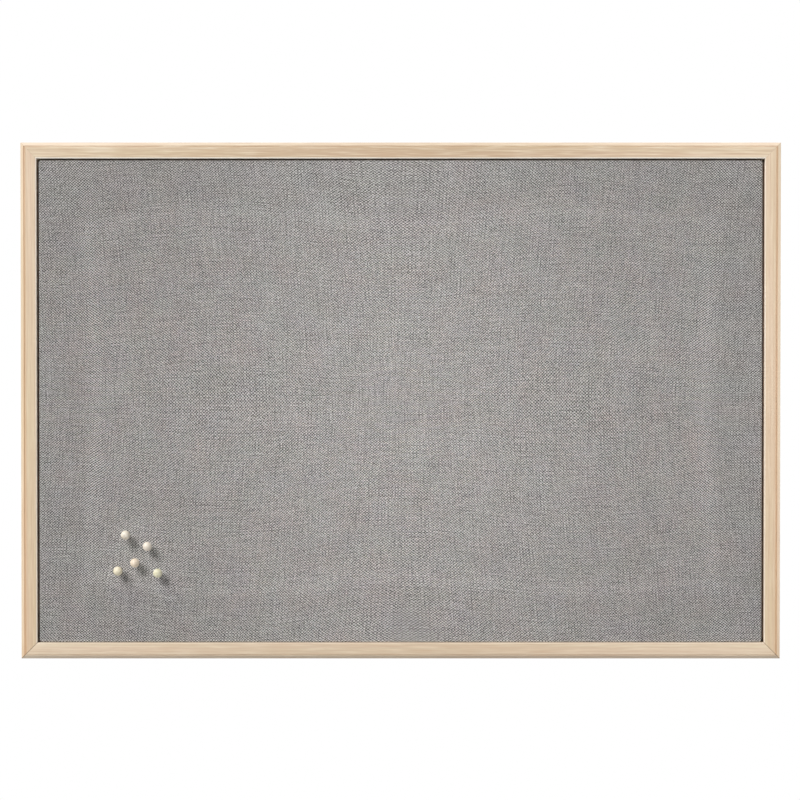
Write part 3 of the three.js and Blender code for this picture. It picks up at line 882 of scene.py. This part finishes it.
def hardboard_look():
    look = Look("hardboard")
    place = look.place()
    x, _, z = look.split(place)
    flecks = look.noise(look.scaled(place, (420, 900, 420)), detail=4, roughness=0.65)
    strands = look.noise(look.scaled(place, (90, 900, 700)), detail=3)
    cross = look.noise(look.scaled(place, (700, 900, 90)), detail=3)
    cloud = look.noise(place, 9, 3)
    wires = [look.math("ABSOLUTE", look.math("SINE", look.times(way, math.pi / 0.0021))) for way in (x, z)]
    screen = look.times(*wires)
    colour = look.mix(look.span(flecks, 0.3, 0.7), rgb(118, 84, 57), rgb(166, 126, 89))
    colour = look.mix(look.span(strands, 0.58, 0.75, 0.0, 0.6), colour, rgb(190, 153, 112))
    colour = look.mix(look.span(cross, 0.6, 0.76, 0.0, 0.5), colour, rgb(74, 50, 33))
    colour = look.mix(look.span(cloud, 0.35, 0.65, 0.0, 0.45), colour, rgb(128, 92, 62))
    colour = look.mix(look.span(screen, 0.0, 0.3, 0.35, 0.0), colour, rgb(70, 47, 31))

    # Its front is faced with pale primer.
    front = look.math("LESS_THAN", look.split(look.add("ShaderNodeNewGeometry").outputs["Normal"])[1], -0.5)
    primer = look.mix(look.span(cloud, 0.3, 0.7), rgb(226, 217, 200), rgb(214, 203, 184))
    colour = look.mix(front, colour, primer)
    look.set(Base_Color=colour, Roughness=look.span(flecks, 0.3, 0.7, 0.72, 0.9))
    look.bump(look.total(screen, (flecks, 0.5)), 0.00012, 0.7)
    return look.material


def softboard_look():
    look = Look("softboard")
    place = look.place()
    clumps = look.noise(place, 260, 4, 0.65)
    strands = look.noise(look.scaled(place, (160, 700, 700)), detail=3)
    colour = look.mix(look.span(clumps, 0.3, 0.7), rgb(158, 130, 98), rgb(200, 174, 138))
    colour = look.mix(look.span(strands, 0.6, 0.75, 0.0, 0.5), colour, rgb(120, 94, 68))
    look.set(Base_Color=colour, Roughness=look.span(clumps, 0.3, 0.7, 0.98, 0.88))
    look.bump(clumps, 0.0003, 0.7)
    return look.material


def foam_look():
    look = Look("foam_tape")
    cell = look.cells(look.place(), 1900)["Distance"]
    colour = look.mix(look.span(cell, 0.1, 0.7), rgb(240, 238, 230), rgb(214, 210, 199))
    look.set(Base_Color=colour, Roughness=look.span(cell, 0.1, 0.7, 0.78, 0.92), Subsurface_Weight=0.05)
    look.bump(cell, 0.00015, 0.6)
    return look.material


def floor_look():
    look = Look("floor")
    cloud = look.noise(look.place(), 3, 4)
    colour = look.mix(cloud, (0.80, 0.80, 0.79, 1), (0.86, 0.86, 0.85, 1))
    look.set(Base_Color=colour, Roughness=look.span(cloud, 0.3, 0.7, 0.85, 0.95))
    return look.material


def dress(piece, material):
    piece.data.materials.clear()
    piece.data.materials.append(material)


# Stage

def add_world():
    """White to the eye. As a light it is paler above than below."""
    world = bpy.data.worlds.new("studio")
    bpy.context.scene.world = world
    world.use_nodes = True
    tree = world.node_tree
    tree.nodes.clear()
    new, join = tree.nodes.new, tree.links.new
    output = new("ShaderNodeOutputWorld")
    seen = new("ShaderNodeBackground")
    seen.inputs["Color"].default_value = (1, 1, 1, 1)
    light = new("ShaderNodeBackground")
    mix = new("ShaderNodeMixShader")
    path = new("ShaderNodeLightPath")
    direct = path.outputs["Is Camera Ray"]
    for way in ("Is Glossy Ray", "Is Transmission Ray"):
        either = new("ShaderNodeMath")
        either.operation = "MAXIMUM"
        join(direct, either.inputs[0])
        join(path.outputs[way], either.inputs[1])
        direct = either.outputs[0]
    towards = new("ShaderNodeTexCoord")
    axes = new("ShaderNodeSeparateXYZ")
    height = new("ShaderNodeMapRange")
    height.inputs["From Min"].default_value = -1
    height.inputs["To Min"].default_value = SKY_LOW
    height.inputs["To Max"].default_value = SKY_HIGH
    join(towards.outputs["Generated"], axes.inputs[0])
    join(axes.outputs["Z"], height.inputs["Value"])
    join(height.outputs[0], light.inputs["Strength"])
    join(direct, mix.inputs["Fac"])
    join(light.outputs[0], mix.inputs[1])
    join(seen.outputs[0], mix.inputs[2])
    join(mix.outputs[0], output.inputs["Surface"])


def add_lamp(name, kind, energy, place):
    """A lamp at a place, which shines towards the middle of the board."""
    lamp = bpy.data.lights.new(name, kind)
    lamp.energy = energy
    piece = bpy.data.objects.new(name, lamp)
    bpy.context.scene.collection.objects.link(piece)
    piece.location = place
    piece.rotation_mode = "QUATERNION"
    piece.rotation_quaternion = place.to_track_quat("Z", "Y")
    return piece


def add_lamps():
    """The fill has no glint, so that flat steel seen from behind keeps its grey."""
    add_lamp("key", "SUN", KEY_STRENGTH, KEY_FROM).data.angle = KEY_ANGLE
    fill = add_lamp("fill", "SUN", FILL_STRENGTH, FILL_FROM)
    fill.data.angle = FILL_ANGLE
    fill.visible_glossy = False
    strip = add_lamp("strip", "AREA", STRIP_POWER, STRIP_AT).data
    strip.shape = "RECTANGLE"
    strip.size, strip.size_y = STRIP_SIZE


def add_floor():
    corners = [(-1, -1), (1, -1), (1, 1), (-1, 1)]
    mesh = bpy.data.meshes.new("floor")
    mesh.from_pydata([(x * FLOOR_SIZE, y * FLOOR_SIZE, FLOOR_Z) for x, y in corners], [], [(0, 1, 2, 3)])
    floor = link("floor", mesh)
    dress(floor, floor_look())


def add_camera():
    view = bpy.data.cameras.new("camera")
    view.sensor_width = CAMERA_SENSOR
    view.lens = CAMERA_LENS
    camera = bpy.data.objects.new("camera", view)
    bpy.context.scene.collection.objects.link(camera)
    back = Vector((0, -math.cos(CAMERA_TILT), math.sin(CAMERA_TILT)))
    camera.location = CAMERA_AIM + CAMERA_OFF * back
    camera.rotation_mode = "QUATERNION"
    camera.rotation_quaternion = (-back).to_track_quat("-Z", "Y")
    bpy.context.scene.camera = camera


def make_pins(wire):
    tints = [
        (rgb(238, 230, 217), rgb(226, 213, 193)),
        (rgb(238, 229, 217), rgb(227, 213, 195)),
        (rgb(237, 223, 205), rgb(226, 206, 181)),
        (rgb(236, 227, 204), rgb(223, 211, 180)),
        (rgb(234, 229, 208), rgb(216, 211, 174)),
    ]
    for number, (pale, shade) in enumerate(tints, 1):
        dress(make_head(number), pin_look(number, pale, shade))
        dress(make_needle(number), wire)


def main():
    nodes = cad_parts
    pine, foam = pine_look(), foam_look()
    zinc, wire = steel_look("zinc_plated_steel", 0.40, 0.64), steel_look("steel_wire", 0.18, 0.40)
    for rail in make_frame():
        dress(rail, pine)
    axes = [pin_axis(number) for number in range(1, PINS + 1)]
    dress(make_cloth([(x, z) for x, _, z in axes]), cloth_look())
    make_pins(wire)
    for name in sorted(nodes):
        if name.startswith("foam_pad"):
            dress(make_pad(name), foam)
        elif name.startswith("hanger_nail"):
            dress(make_nail(name), wire)
        elif name.startswith("hem_staple"):
            dress(nodes[name], wire)
        elif name.startswith(("corner_nail", "back_point", "sawtooth_hanger")):
            dress(nodes[name], zinc)
    dress(nodes["backing_board"], hardboard_look())
    dress(nodes["softboard_core"], softboard_look())
    add_world()
    add_lamps()
    add_floor()
    add_camera()
    bpy.context.scene.view_settings.view_transform = "Standard"


main()
